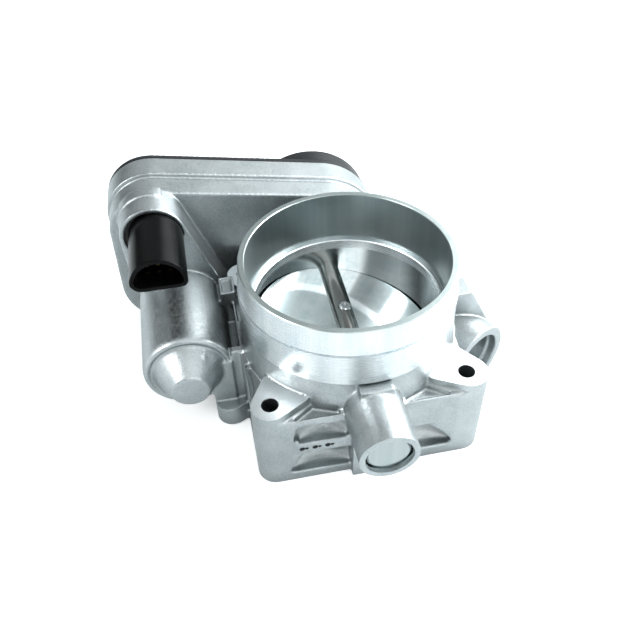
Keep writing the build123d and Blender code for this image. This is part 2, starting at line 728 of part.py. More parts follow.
def idler_gear():
    """The double idler: the motor drives the large gear and the small one drives the sector."""
    step = 360.0 / IDLER_LARGE_TEETH
    toward_motor = TRAIN_ANGLE
    large = gear(IDLER_LARGE_TEETH, toward_motor + step / 2)
    small = gear(IDLER_SMALL_TEETH, TRAIN_ANGLE - 180.0 + 180.0 / IDLER_SMALL_TEETH)
    for index in range(6):
        large = large - Pos(*polar(19.0, 60.0 * index)) * Circle(5.0)
    body = across(Pos(IDLER_X, IDLER_Z) * large, *IDLER_LARGE_Y)
    body = body + across(Pos(IDLER_X, IDLER_Z) * small, *IDLER_SMALL_Y)
    return body - rod(IDLER_X, IDLER_Z, AXLE_R + RUNNING_GAP, FLOOR_Y, JOINT_Y)


def idler_axle():
    """The fixed pin that the idler turns on."""
    return rod(IDLER_X, IDLER_Z, AXLE_R, WALL_Y + 1.5, 79.5)


def idler_washer():
    """The thrust washer under the idler."""
    return tube(IDLER_X, IDLER_Z, 6.0, AXLE_R, FLOOR_Y, IDLER_LARGE_Y[0] - 0.1)


def motor_can():
    """The drawn steel can of the motor."""
    return turned(
        [
            (2.0, CAN_FRONT_Y - 8.0),
            (6.5, CAN_FRONT_Y - 8.0),
            (6.5, CAN_FRONT_Y),
            (MOTOR_CAN_R, CAN_FRONT_Y),
            (MOTOR_CAN_R, CAN_BACK_Y),
            (MOTOR_CAN_R - CAN_WALL, CAN_BACK_Y),
            (MOTOR_CAN_R - CAN_WALL, CAN_FRONT_Y + CAN_WALL),
            (MOTOR_BUSH_R, CAN_FRONT_Y + CAN_WALL),
            (MOTOR_BUSH_R, CAN_FRONT_Y - 6.5),
            (2.0, CAN_FRONT_Y - 6.5),
        ],
        MOTOR_X,
        MOTOR_Z,
    )


def motor_magnets():
    """The two curved field magnets inside the can."""
    outer_r = MOTOR_CAN_R - CAN_WALL
    ring = Circle(outer_r) - Circle(12.0)
    magnets = []
    for turn in (0, 180):
        arc = ring & Rot(0, 0, turn) * Pos(20.0, 0) * Rectangle(32.0, 22.0)
        magnets.append(across(Pos(MOTOR_X, MOTOR_Z) * arc, 6.0, 40.0))
    return Compound(magnets)


def motor_armature():
    """The slotted iron rotor of the motor."""
    poles = Circle(11.4)
    for index in range(8):
        poles = poles - Rot(0, 0, 45.0 * index + 22.5) * Pos(9.6, 0) * Rectangle(5.0, 2.6)
    return across(Pos(MOTOR_X, MOTOR_Z) * (poles - Circle(MOTOR_SHAFT_R)), 9.0, 37.0)


def motor_commutator():
    """The copper commutator on the motor shaft."""
    ring = Circle(4.5) - Circle(MOTOR_SHAFT_R)
    for index in range(8):
        ring = ring - Rot(0, 0, 45.0 * index) * Pos(4.4, 0) * Rectangle(1.2, 0.4)
    return across(Pos(MOTOR_X, MOTOR_Z) * ring, 40.0, 47.0)


def motor_brushes():
    """The two carbon brushes that press on the commutator."""
    brushes = []
    for side in (-1, 1):
        x = MOTOR_X + side * 7.8
        brushes.append(slab((x - 3.2, 41.5, MOTOR_Z - 1.6), (x + 3.2, 45.5, MOTOR_Z + 1.6)))
    return Compound(brushes)


def motor_shaft():
    """The motor's steel shaft."""
    return rod(MOTOR_X, MOTOR_Z, MOTOR_SHAFT_R, CAN_FRONT_Y - 5.5, PINION_Y[1] + 0.5)


def motor_bushes():
    """The two sintered bushes that the motor shaft runs in."""
    inner_r = MOTOR_SHAFT_R + 0.04
    front = tube(MOTOR_X, MOTOR_Z, MOTOR_BUSH_R, inner_r, CAN_FRONT_Y - 5.5, CAN_FRONT_Y)
    back = tube(MOTOR_X, MOTOR_Z, MOTOR_BUSH_R, inner_r, 52.0, 57.5)
    return Compound([front, back])


def motor_brush_card():
    """The plastic end plate that carries the brushes and the rear bush."""
    card = tube(MOTOR_X, MOTOR_Z, MOTOR_CAN_R - CAN_WALL, MOTOR_BUSH_R, 50.0, CAN_BACK_Y)
    for side in (-1, 1):
        x = MOTOR_X + side * 8.2
        holder = slab((x - 2.8, 40.8, MOTOR_Z - 2.6), (x + 2.8, 50.0, MOTOR_Z + 2.6))
        x = MOTOR_X + side * 7.8
        card = card + (holder - slab((x - 6.0, 41.5, MOTOR_Z - 1.6), (x + 6.0, 45.5, MOTOR_Z + 1.6)))
    return card


def motor_flange():
    """The steel plate that fastens the motor in the housing."""
    plate = across(motor_flange_outline(0.0), *MOTOR_FLANGE_Y)
    spigot = rod(MOTOR_X, MOTOR_Z, MOTOR_CAN_R, CAN_BACK_Y, MOTOR_FLANGE_Y[0])
    cuts = [
        rod(MOTOR_X, MOTOR_Z, MOTOR_BUSH_R, CAN_BACK_Y - 1.0, 57.5),
        rod(MOTOR_X, MOTOR_Z, 2.2, 50.0, 60.0),
    ]
    for x, z in motor_screw_places():
        cuts.append(rod(x, z, 1.5, 50.0, 60.0))
    return plate + spigot - cuts


def motor_screws():
    """The two screws through the motor's flange plate."""
    screws = []
    for x, z in motor_screw_places():
        stem = rod(x, z, 1.5, WALL_Y + 0.8, MOTOR_FLANGE_Y[1])
        screws.append(stem + rod(x, z, 2.9, MOTOR_FLANGE_Y[1], MOTOR_FLANGE_Y[1] + 1.6))
    return Compound(screws)


def motor_pinion():
    """The brass pinion on the motor shaft."""
    step = 360.0 / PINION_TEETH
    outline = gear(PINION_TEETH, TRAIN_ANGLE - 180.0) - Circle(MOTOR_SHAFT_R)
    return across(Pos(MOTOR_X, MOTOR_Z) * outline, *PINION_Y)


def closed_stop_screw():
    """The set screw that the sector gear's arm meets when the plate is closed."""
    return post(STOP_X, STOP_Y, STOP_R, SHAFT_Z + ARM_WIDTH / 2 + RUNNING_GAP, STOP_BORE_TOP_Z - 0.2)


def cover_gasket():
    """The rubber gasket between the gear housing and its cover."""
    ring = across(housing_outline(0.8) - housing_outline(2.4), JOINT_Y, COVER_Y)
    cuts = [rod(x, z, COVER_SCREW_R + 0.4, JOINT_Y - 1, COVER_Y + 1) for x, z in COVER_SCREWS]
    return ring - cuts


def gear_cover():
    """The moulded black cover with its round sensor dome."""
    flange_end = COVER_Y + COVER_FLANGE
    shell = across(housing_outline(0.2), COVER_Y, flange_end)
    bulge = across(housing_outline(COVER_BULGE_INSET), flange_end, COVER_BULGE_Y)
    dome = rod(0, SHAFT_Z, DOME_R, flange_end, COVER_DOME_Y)
    dome = fillet(dome.edges().group_by(Axis.Y)[-1], DOME_ROUND)
    hollow = [
        across(housing_outline(COVER_BULGE_INSET + COVER_WALL), COVER_Y - 1, COVER_BULGE_Y - COVER_WALL),
        rod(0, SHAFT_Z, DOME_R - 3.0, COVER_Y - 1, COVER_DOME_Y - COVER_WALL - 1.0),
    ]
    cuts = [rod(x, z, COVER_SCREW_R, COVER_Y - 1, flange_end + 3) for x, z in COVER_SCREWS]
    seats = [rod(x, z, COVER_SCREW_HEAD_R + 0.3, flange_end, flange_end + 8) for x, z in COVER_SCREWS]
    return shell + bulge + dome - hollow - cuts - seats


def cover_screws():
    """The screws that hold the gear cover."""
    start = COVER_Y + COVER_FLANGE
    screws = []
    for x, z in COVER_SCREWS:
        stem = rod(x, z, COVER_SCREW_R, JOINT_Y - COVER_SCREW_LENGTH + 1.0, start)
        head = rod(x, z, COVER_SCREW_HEAD_R, start, start + 2.2)
        socket = across(Pos(x, z) * RegularPolygon(1.5, 6), start + 1.0, start + 3.0)
        screws.append(stem + head - socket)
    return Compound(screws)


def position_sensor_board():
    """The ceramic track board of the throttle position sensor, fixed in the dome."""
    return tube(0, SHAFT_Z, DOME_R - 3.0, 5.0, 87.5, 88.7)


def sensor_wiper():
    """The wiper carrier on the shaft's end, with its contact fingers."""
    carrier = tube(0, SHAFT_Z, 12.0, SHAFT_END_R, 81.8, 83.0)
    fingers = []
    for angle in (60.0, 240.0):
        x, z = polar(10.0, angle)
        fingers.append(slab((x - 1.0, 82.5, SHAFT_Z + z - 2.0), (x + 1.0, 87.4, SHAFT_Z + z + 2.0)))
    return carrier + fingers


def connector_shell():
    """The moulded connector: an open socket in front and a plug body through the wall."""
    outer = across(plug_outline(0.0), PLUG_END_Y, PLUG_SHOULDER_Y)
    outer = outer + across(plug_neck(), PLUG_SHOULDER_Y, FLOOR_Y)
    socket = across(plug_outline(PLUG_WALL), PLUG_END_Y - 1, PLUG_END_Y + SOCKET_DEPTH)
    return outer - socket - [slab(*blade) for blade in connector_blades()]


def connector_blades():
    """Corner points of the six contact blades."""
    half_x = BLADE_SIZE[0] / 2
    half_z = BLADE_SIZE[1] / 2
    blades = []
    for row_z in (PLUG_NECK_Z - BLADE_ROW, PLUG_NECK_Z + BLADE_ROW):
        for column in (-1, 0, 1):
            x = PLUG_X + BLADE_PITCH * column
            low = (x - half_x, PLUG_END_Y + BLADE_SETBACK, row_z - half_z)
            high = (x + half_x, FLOOR_Y + 5.0, row_z + half_z)
            blades.append((low, high))
    return blades


def connector_blade_set():
    """The six contact blades."""
    return Compound([slab(low, high) for low, high in connector_blades()])


def connector_seal():
    """The rubber ring round the connector inside the hood."""
    ring = Pos(HOOD_X, HOOD_Z) * Circle(HOOD_BORE_R)
    seal = across(ring - plug_outline(0.0), HOOD_FRONT_Y + 2.0, HOOD_FRONT_Y + 6.0)
    return seal


NODES = {
    "throttle_housing": throttle_housing,
    "shaft_end_plug": shaft_end_plug,
    "front_bearing_cup": front_bearing_cup,
    "front_bearing_needles": front_bearing_needles,
    "front_shaft_seal": front_shaft_seal,
    "rear_shaft_seal": rear_shaft_seal,
    "rear_bearing_outer_race": rear_bearing_outer_race,
    "rear_bearing_inner_race": rear_bearing_inner_race,
    "rear_bearing_balls": rear_bearing_balls,
    "throttle_shaft": throttle_shaft,
    "throttle_plate": throttle_plate,
    "plate_screws": plate_screws,
    "sector_gear": sector_gear,
    "sector_nut": sector_nut,
    "return_spring": return_spring,
    "idler_gear": idler_gear,
    "idler_axle": idler_axle,
    "idler_washer": idler_washer,
    "motor_can": motor_can,
    "motor_magnets": motor_magnets,
    "motor_armature": motor_armature,
    "motor_commutator": motor_commutator,
    "motor_brushes": motor_brushes,
    "motor_brush_card": motor_brush_card,
    "motor_bushes": motor_bushes,
    "motor_shaft": motor_shaft,
    "motor_flange": motor_flange,
    "motor_screws": motor_screws,
    "motor_pinion": motor_pinion,
    "closed_stop_screw": closed_stop_screw,
    "cover_gasket": cover_gasket,
    "gear_cover": gear_cover,
    "cover_screws": cover_screws,
    "position_sensor_board": position_sensor_board,
    "sensor_wiper": sensor_wiper,
    "connector_shell": connector_shell,
    "connector_blades": connector_blade_set,
    "connector_seal": connector_seal,
}

os.makedirs("parts", exist_ok=True)
for name, make in NODES.items():
    solid = make()
    export_step(solid, f"parts/{name}.step")
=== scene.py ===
import json
import math

import bmesh
import bpy
import numpy as np
from mathutils import Matrix, Vector


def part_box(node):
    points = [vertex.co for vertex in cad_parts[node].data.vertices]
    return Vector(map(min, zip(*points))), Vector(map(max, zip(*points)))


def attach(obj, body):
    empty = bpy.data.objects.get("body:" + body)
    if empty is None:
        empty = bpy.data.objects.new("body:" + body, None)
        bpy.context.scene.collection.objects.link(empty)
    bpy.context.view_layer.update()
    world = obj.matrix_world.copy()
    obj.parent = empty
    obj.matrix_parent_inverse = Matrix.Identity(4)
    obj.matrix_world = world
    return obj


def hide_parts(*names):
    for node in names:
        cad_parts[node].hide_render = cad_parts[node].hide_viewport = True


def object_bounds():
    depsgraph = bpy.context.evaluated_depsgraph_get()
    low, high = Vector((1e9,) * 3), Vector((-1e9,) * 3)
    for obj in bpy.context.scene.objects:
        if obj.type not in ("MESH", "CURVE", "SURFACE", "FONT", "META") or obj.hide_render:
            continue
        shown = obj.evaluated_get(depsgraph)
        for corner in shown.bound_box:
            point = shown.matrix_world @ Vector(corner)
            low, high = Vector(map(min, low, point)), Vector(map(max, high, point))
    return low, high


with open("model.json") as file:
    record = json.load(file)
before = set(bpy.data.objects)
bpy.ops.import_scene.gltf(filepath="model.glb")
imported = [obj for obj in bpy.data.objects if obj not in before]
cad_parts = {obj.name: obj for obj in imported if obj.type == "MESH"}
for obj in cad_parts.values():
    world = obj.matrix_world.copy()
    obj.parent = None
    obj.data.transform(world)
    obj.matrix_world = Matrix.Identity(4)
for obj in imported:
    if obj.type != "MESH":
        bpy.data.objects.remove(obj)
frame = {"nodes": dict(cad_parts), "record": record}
cad_low, cad_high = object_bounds()

MM = 0.001

mounts = {mount["name"]: mount for mount in frame["record"]["mounts"]}
joints = {joint["name"]: joint for joint in frame["record"]["behaviour"]["joints"]}
housing_low, housing_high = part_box("throttle_housing")

# Camera, in the part's own frame (metres and degrees)
CAMERA_PLACE = (-0.05204, -0.21375, 0.25686)
CAMERA_AZIMUTH = -10.643
CAMERA_ELEVATION = 44.404
CAMERA_ROLL = -1.485
CAMERA_LENS = 39.82

# The turned and machined faces of the casting (millimetres)
BORE_R = 39.5
COLLAR_INNER_R = 41.4
COLLAR_R = mounts["intake_collar"]["dims"]["r_mm"]
RIM_R = 44.0
TOP_Z = 78.0
BORE_TOP_Z = 54.3
COLLAR_FOOT_Z = 50.9
GROOVE_Z = 66.0
GROOVE_DEPTH = 0.7
BOSS_TOP_Z = 42.0
SHAFT_Z = joints["throttle_turn"]["pos_m"][2] / MM
SHAFT_HOLE_R = 5.05
BOSS_END_Y = housing_low[1] / MM
JOINT_Y = housing_high[1] / MM
LINER_R = 40.4
STEP_BELOW_COLLAR = 1.2
MACHINING_STOCK = 1.2
ON_PLANE = 0.02

# Cutters: how far the casting stops under the collar's foot, and how far cutters pass what they cut
COLLAR_SEAT = 0.8
CLEAR_OF_COLLAR = 1.5
OVERSHOOT = 10.0
ACROSS_BORE = 50.0

# The four bolt pads: machined flat, outside these distances from the bore axis and the flange's middle lines
STOCK_INNER_R = 47.0
PAD_INNER_R = 46.2
PAD_SIDES = (20.0, 50.0)
PAD_REACH_Z = 44.0
PAD_LEVEL = 0.98
PAD_NEAR = 0.05
LOCATING_BLOCK_X = -45.3
LOCATING_BLOCK_Y = (25.5, 38.0)

# The cast pockets of the flange, drawn on its front side and turned to the others
POCKET_TURNS = (0, 180, 270)
POCKET_BACK_Y = -24.0
DISH_STEPS = 16
DISH_SHAPE = 0.6
POCKET_FLOORS = [
    # from x, to x, from z, to z, y at the edges, y at the deepest place
    (-34.0, -9.0, 22.6, 35.0, -46.6, -38.5),
    (-37.0, -7.0, 4.0, 17.5, -46.6, -38.0),
    (9.0, 37.0, 5.0, 19.0, -45.8, -38.5),
    # the slot beside the pits, and the strip that holds them
    (-33.8, -30.6, 15.4, 25.0, -47.2, -47.2),
    (-31.4, -15.6, 18.4, 22.0, -47.4, -47.4),
]
SOFT_X = (12.4, 37.5)
SOFT_DEPTH = (36.0, 50.0)
SOFT_Z = (3.5, 39.5)

# The pairs of round pits in the strip between the left pockets
PIT_XS = (-29.4, -24.1, -18.9)
PIT_SPACING = 1.9
PIT_RADII = (1.15, 0.7)
PIT_DEPTH = 1.6
STRIP_Z = 20.2
STRIP_Y = -47.6


# ---------------------------------------------------------------- shader building

def link(tree, source, target):
    """Wire an output to an input."""
    tree.links.new(source, target)


def node(tree, kind, **inputs):
    """A shader node with its inputs set by name; underscores stand for spaces."""
    made = tree.nodes.new(kind)
    for name, value in inputs.items():
        made.inputs[name.replace("_", " ")].default_value = value
    return made


def new_material(name, colour, metallic, roughness):
    """A material with a Principled shader, and the parts that the next functions build on."""
    material = bpy.data.materials.new(name)
    material.use_nodes = True
    tree = material.node_tree
    shader = tree.nodes["Principled BSDF"]
    shader.inputs["Base Color"].default_value = (*colour, 1.0)
    shader.inputs["Metallic"].default_value = metallic
    shader.inputs["Roughness"].default_value = roughness
    place = tree.nodes.new("ShaderNodeTexCoord")
    return material, tree, shader, place.outputs["Object"]


def noise(tree, place, scale, detail=3.0, roughness=0.6):
    """A noise pattern; scale is in features per metre."""
    made = node(tree, "ShaderNodeTexNoise", Scale=scale, Detail=detail, Roughness=roughness)
    link(tree, place, made.inputs["Vector"])
    return made.outputs["Fac"]


def spread(tree, value, low, high):
    """Map a 0 to 1 value onto a range, centred on the noise's own middle."""
    made = node(tree, "ShaderNodeMapRange")
    made.inputs["From Min"].default_value = 0.3
    made.inputs["From Max"].default_value = 0.7
    made.inputs["To Min"].default_value = low
    made.inputs["To Max"].default_value = high
    link(tree, value, made.inputs["Value"])
    return made.outputs["Result"]


def shade(tree, value, dark, light):
    """A colour between two, by a value."""
    made = tree.nodes.new("ShaderNodeMix")
    made.data_type = "RGBA"
    made.inputs[6].default_value = (*dark, 1.0)
    made.inputs[7].default_value = (*light, 1.0)
    link(tree, value, made.inputs[0])
    return made.outputs[2]


def bump(tree, shader, height, depth, strength=1.0, below=None):
    """Raise a surface by a height pattern; depth is in metres."""
    made = node(tree, "ShaderNodeBump", Strength=strength, Distance=depth)
    link(tree, height, made.inputs["Height"])
    if below is not None:
        link(tree, below, made.inputs["Normal"])
    link(tree, made.outputs["Normal"], shader.inputs["Normal"])
    return made.outputs["Normal"]


def painted_shade_amount(tree, reach):
    """A 0 to 1 value that falls in the corners and pockets, where painted shade goes."""
    made = tree.nodes.new("ShaderNodeAmbientOcclusion")
    made.samples = 8
    made.inputs["Distance"].default_value = reach
    return made.outputs["AO"]


def with_painted_shade(tree, colour, amount, deepest):
    """A colour scaled down to a share of itself where the amount falls to 0, to paint shade into it."""
    scale = node(tree, "ShaderNodeMapRange")
    scale.inputs["From Min"].default_value = 0.35
    scale.inputs["From Max"].default_value = 0.95
    scale.inputs["To Min"].default_value = deepest
    scale.inputs["To Max"].default_value = 1.0
    link(tree, amount, scale.inputs["Value"])
    made = tree.nodes.new("ShaderNodeVectorMath")
    made.operation = "SCALE"
    link(tree, colour, made.inputs[0])
    link(tree, scale.outputs["Result"], made.inputs["Scale"])
    return made.outputs["Vector"]


def cast_aluminium(name, low_tone, high_tone, relief):
    """Bead-blasted casting: satin, a fine pitted grain, cloudy staining, and painted shade darkening its
    corners.
    """
    material, tree, shader, place = new_material(name, high_tone, 1.0, 0.4)
    cloud = noise(tree, place, 60.0, 5.0, 0.65)
    grain = noise(tree, place, 1500.0, 2.0, 0.7)
    pits = noise(tree, place, 620.0, 3.0, 0.6)
    mottle = tree.nodes.new("ShaderNodeMath")
    mottle.operation = "MULTIPLY_ADD"
    mottle.inputs[1].default_value = 0.5
    link(tree, spread(tree, cloud, 0.0, 0.5), mottle.inputs[2])
    link(tree, spread(tree, grain, 0.0, 1.0), mottle.inputs[0])
    tone = shade(tree, mottle.outputs["Value"], low_tone, high_tone)
    # Painted shade: the base colour falls to 0.7 of itself in corners and pockets, by ambient occlusion
    link(tree, with_painted_shade(tree, tone, painted_shade_amount(tree, 0.010), 0.7), shader.inputs["Base Color"])
    link(tree, spread(tree, pits, 0.30, 0.46), shader.inputs["Roughness"])
    first = bump(tree, shader, grain, 0.00010, 0.7 * relief)
    bump(tree, shader, pits, 0.00020, 0.45 * relief, first)
    return material


def turned_aluminium(name, colour, roughness, ring_scale, depth, stretch=0.0):
    """Machined metal: fine rings about the bore axis, painted reflections as bluish darker bands round it,
    and highlights drawn out along it.
    """
    material, tree, shader, place = new_material(name, colour, 1.0, roughness)
    if stretch > 0:
        around = tree.nodes.new("ShaderNodeTangent")
        around.direction_type = "RADIAL"
        around.axis = "Z"
        shader.inputs["Anisotropic"].default_value = stretch
        link(tree, around.outputs["Tangent"], shader.inputs["Tangent"])
    parts = tree.nodes.new("ShaderNodeSeparateXYZ")
    link(tree, place, parts.inputs["Vector"])
    squash = node(tree, "ShaderNodeCombineXYZ")
    link(tree, parts.outputs["Z"], squash.inputs["Z"])
    length = tree.nodes.new("ShaderNodeVectorMath")
    length.operation = "LENGTH"
    flat = node(tree, "ShaderNodeCombineXYZ")
    link(tree, parts.outputs["X"], flat.inputs["X"])
    link(tree, parts.outputs["Y"], flat.inputs["Y"])
    link(tree, flat.outputs["Vector"], length.inputs[0])
    link(tree, length.outputs["Value"], squash.inputs["X"])
    rings = noise(tree, squash.outputs["Vector"], ring_scale, 2.0, 0.7)
    painted_reflection_bands = noise(tree, flat.outputs["Vector"], 150.0, 4.0, 0.7)
    link(tree, spread(tree, rings, roughness * 0.85, roughness * 1.15), shader.inputs["Roughness"])
    # Painted reflection: bluish darker bands that run along the axis, at random places round the axis
    dark = (0.78 * colour[0], 0.84 * colour[1], 0.86 * colour[2])
    link(tree, shade(tree, spread(tree, painted_reflection_bands, 0.0, 1.0), dark, colour), shader.inputs["Base Color"])
    bump(tree, shader, rings, depth, 0.5)
    return material


def brushed_metal(name, colour, roughness, stretch):
    """Ground or rolled metal: a noise stretched along one axis."""
    material, tree, shader, place = new_material(name, colour, 1.0, roughness)
    squash = tree.nodes.new("ShaderNodeMapping")
    squash.inputs["Scale"].default_value = stretch
    link(tree, place, squash.inputs["Vector"])
    lines = noise(tree, squash.outputs["Vector"], 900.0, 3.0, 0.7)
    link(tree, spread(tree, lines, roughness * 0.7, roughness * 1.3), shader.inputs["Roughness"])
    dark = tuple(0.85 * part for part in colour)
    link(tree, shade(tree, spread(tree, lines, 0.0, 1.0), dark, colour), shader.inputs["Base Color"])
    bump(tree, shader, lines, 0.00002, 0.4)
    return material


def moulded_plastic(name, colour, roughness, grain_scale, grain_depth, gloss=0.5):
    """Moulded or sintered material with a fine spark grain: plastic, rubber, ferrite or ceramic."""
    material, tree, shader, place = new_material(name, colour, 0.0, roughness)
    shader.inputs["Specular IOR Level"].default_value = gloss
    grain = noise(tree, place, grain_scale, 2.0, 0.6)
    cloud = noise(tree, place, 90.0, 2.0)
    link(tree, spread(tree, grain, roughness * 0.85, roughness * 1.2), shader.inputs["Roughness"])
    light = tuple(min(1.0, 1.25 * part + 0.002) for part in colour)
    link(tree, shade(tree, spread(tree, cloud, 0.0, 1.0), colour, light), shader.inputs["Base Color"])
    bump(tree, shader, grain, grain_depth, 0.4)
    return material


MATERIALS = {
    "cast": cast_aluminium("cast_aluminium", (0.33, 0.365, 0.375), (0.58, 0.61, 0.62), 1.0),
    "machined": cast_aluminium("machined_pad", (0.74, 0.78, 0.79), (0.90, 0.93, 0.94), 0.5),
    "turned": turned_aluminium("turned_collar", (0.83, 0.85, 0.86), 0.27, 2600.0, 0.000003, 0.75),
    # Painted shade: a darker copy of the collar's turned metal, for its flat top face
    "rim": turned_aluminium("turned_rim_painted_shade", (0.50, 0.54, 0.53), 0.3, 2600.0, 0.000003),
    # Painted shade: a darker copy of the collar's turned metal, for its inner wall
    "inside": turned_aluminium("turned_collar_inside_painted_shade", (0.33, 0.36, 0.36), 0.34, 2200.0, 0.000003, 0.6),
    "bore": turned_aluminium("mirror_bore", (0.62, 0.65, 0.65), 0.14, 1600.0, 0.000006, 0.4),
    "plate": turned_aluminium("plate_metal", (0.84, 0.85, 0.85), 0.09, 1200.0, 0.000006),
    "ground": brushed_metal("ground_steel", (0.27, 0.27, 0.26), 0.18, (8.0, 0.6, 8.0)),
    "bright": brushed_metal("bright_steel", (0.74, 0.75, 0.76), 0.16, (1.0, 1.0, 1.0)),
    "polished": turned_aluminium("polished_steel", (0.45, 0.48, 0.48), 0.14, 500.0, 0.000004),
    "brass": brushed_metal("brass", (0.78, 0.58, 0.28), 0.25, (1.0, 0.3, 1.0)),
    "ferrite": moulded_plastic("ferrite", (0.06, 0.06, 0.065), 0.55, 1200.0, 0.00004),
    "rubber": moulded_plastic("black_rubber", (0.012, 0.012, 0.013), 0.6, 900.0, 0.00005),
    "cover": moulded_plastic("cover_plastic", (0.010, 0.011, 0.013), 0.34, 1500.0, 0.00005, 0.25),
    "connector": moulded_plastic("connector_plastic", (0.0008, 0.0008, 0.0009), 0.22, 1500.0, 0.000004, 0.09),
    "nylon": moulded_plastic("gear_nylon", (0.74, 0.71, 0.62), 0.4, 800.0, 0.00003),
    "ceramic": moulded_plastic("sensor_ceramic", (0.66, 0.65, 0.6), 0.5, 800.0, 0.00002),
}

NODE_MATERIALS = {
    "cast": ["throttle_housing"],
    "plate": ["throttle_plate"],
    "ground": ["throttle_shaft", "return_spring", "idler_axle", "motor_can", "motor_shaft", "motor_flange",
               "closed_stop_screw"],
    "polished": ["shaft_end_plug"],
    "bright": ["front_bearing_cup", "front_bearing_needles", "rear_bearing_outer_race",
               "rear_bearing_inner_race", "rear_bearing_balls", "plate_screws", "sector_nut", "idler_washer",
               "motor_screws", "cover_screws"],
    "brass": ["motor_commutator", "motor_bushes", "motor_pinion", "connector_blades"],
    "ferrite": ["motor_magnets", "motor_armature", "motor_brushes"],
    "rubber": ["front_shaft_seal", "rear_shaft_seal", "cover_gasket", "connector_seal"],
    "cover": ["gear_cover", "motor_brush_card"],
    "connector": ["connector_shell"],
    "nylon": ["sector_gear", "idler_gear", "sensor_wiper"],
    "ceramic": ["position_sensor_board"],
}


def paint(thing, key):
    """Give an object one material, by its key."""
    thing.data.materials.clear()
    thing.data.materials.append(MATERIALS[key])


for key, names in NODE_MATERIALS.items():
    for name in names:
        paint(frame["nodes"][name], key)


# ---------------------------------------------------------------- mesh building

def new_object(name, mesh):
    """A mesh as an object of the scene."""
    made = bpy.data.objects.new(name, mesh)
    bpy.context.collection.objects.link(made)
    return made


def apply_modifiers(thing):
    """Give an object the mesh that its modifiers make of it."""
    graph = bpy.context.evaluated_depsgraph_get()
    mesh = bpy.data.meshes.new_from_object(thing.evaluated_get(graph))
    thing.modifiers.clear()
    thing.data = mesh


def lathe(name, profile, steps=384):
    """A closed ring turned about the bore axis, from (radius, z) points in millimetres."""
    mesh = bpy.data.meshes.new(name)
    build = bmesh.new()
    rings = []
    for radius, z in profile:
        ring = []
        for step in range(steps):
            turn = 2 * math.pi * step / steps
            ring.append(build.verts.new((radius * math.cos(turn) * MM, radius * math.sin(turn) * MM, z * MM)))
        rings.append(ring)
    for index, ring in enumerate(rings):
        after = rings[(index + 1) % len(rings)]
        for step in range(steps):
            along = (step + 1) % steps
            build.faces.new((ring[step], ring[along], after[along], after[step]))
    bmesh.ops.recalc_face_normals(build, faces=build.faces)
    build.to_mesh(mesh)
    build.free()
    return new_object(name, mesh)


def cylinder(name, radius, low, high, steps=192):
    """A closed cylinder between two points, all in millimetres."""
    low, high = Vector(low) * MM, Vector(high) * MM
    mesh = bpy.data.meshes.new(name)
    build = bmesh.new()
    bmesh.ops.create_cone(build, cap_ends=True, segments=steps, radius1=radius * MM, radius2=radius * MM,
                          depth=(high - low).length)
    turn = (high - low).to_track_quat("Z", "Y").to_matrix().to_4x4()
    build.transform(Matrix.Translation((low + high) / 2) @ turn)
    build.to_mesh(mesh)
    build.free()
    return new_object(name, mesh)


def cut(thing, cutter):
    """Take a cutter away from an object, and throw the cutter away."""
    step = thing.modifiers.new("cut", "BOOLEAN")
    step.object = cutter
    step.operation = "DIFFERENCE"
    step.solver = "EXACT"
    apply_modifiers(thing)
    bpy.data.objects.remove(cutter)


def welded_copy(source, name):
    """A copy of a CAD node whose faces share their points."""
    mesh = source.data.copy()
    build = bmesh.new()
    build.from_mesh(mesh)
    bmesh.ops.remove_doubles(build, verts=build.verts, dist=1e-7)
    build.to_mesh(mesh)
    build.free()
    return new_object(name, mesh)


def points_of(mesh):
    """A mesh's points as an array, in millimetres."""
    flat = np.empty(len(mesh.vertices) * 3, np.float32)
    mesh.vertices.foreach_get("co", flat)
    return flat.reshape(-1, 3).astype(np.float64) / MM


def set_points(mesh, points):
    """Write a mesh's points back, from millimetres."""
    mesh.vertices.foreach_set("co", (points * MM).astype(np.float32).ravel())
    mesh.update()


def rounded(thing, voxel, rounds, keep, soft=None, soft_rounds=0):
    """Rebuild a solid with every edge rounded, as a moulded or cast piece has them, and more where soft."""
    step = thing.modifiers.new("voxels", "REMESH")
    step.mode = "VOXEL"
    step.voxel_size = voxel * MM
    step = thing.modifiers.new("rounding", "SMOOTH")
    step.factor = 0.5
    step.iterations = rounds
    apply_modifiers(thing)
    if soft is not None:
        group = thing.vertex_groups.new(name="soft")
        group.add(np.nonzero(soft(points_of(thing.data)))[0].tolist(), 1.0, "REPLACE")
        step = thing.modifiers.new("softening", "SMOOTH")
        step.vertex_group = "soft"
        step.factor = 0.5
        step.iterations = soft_rounds
        apply_modifiers(thing)
    step = thing.modifiers.new("thinning", "DECIMATE")
    step.ratio = keep
    apply_modifiers(thing)
    return thing


def smooth_shade(thing, angle=35.0):
    """Shade smooth, with edges over an angle kept sharp."""
    mesh = thing.data
    mesh.polygons.foreach_set("use_smooth", [True] * len(mesh.polygons))
    mesh.set_sharp_from_angle(angle=math.radians(angle))
    mesh.update()


# ---------------------------------------------------------------- the casting

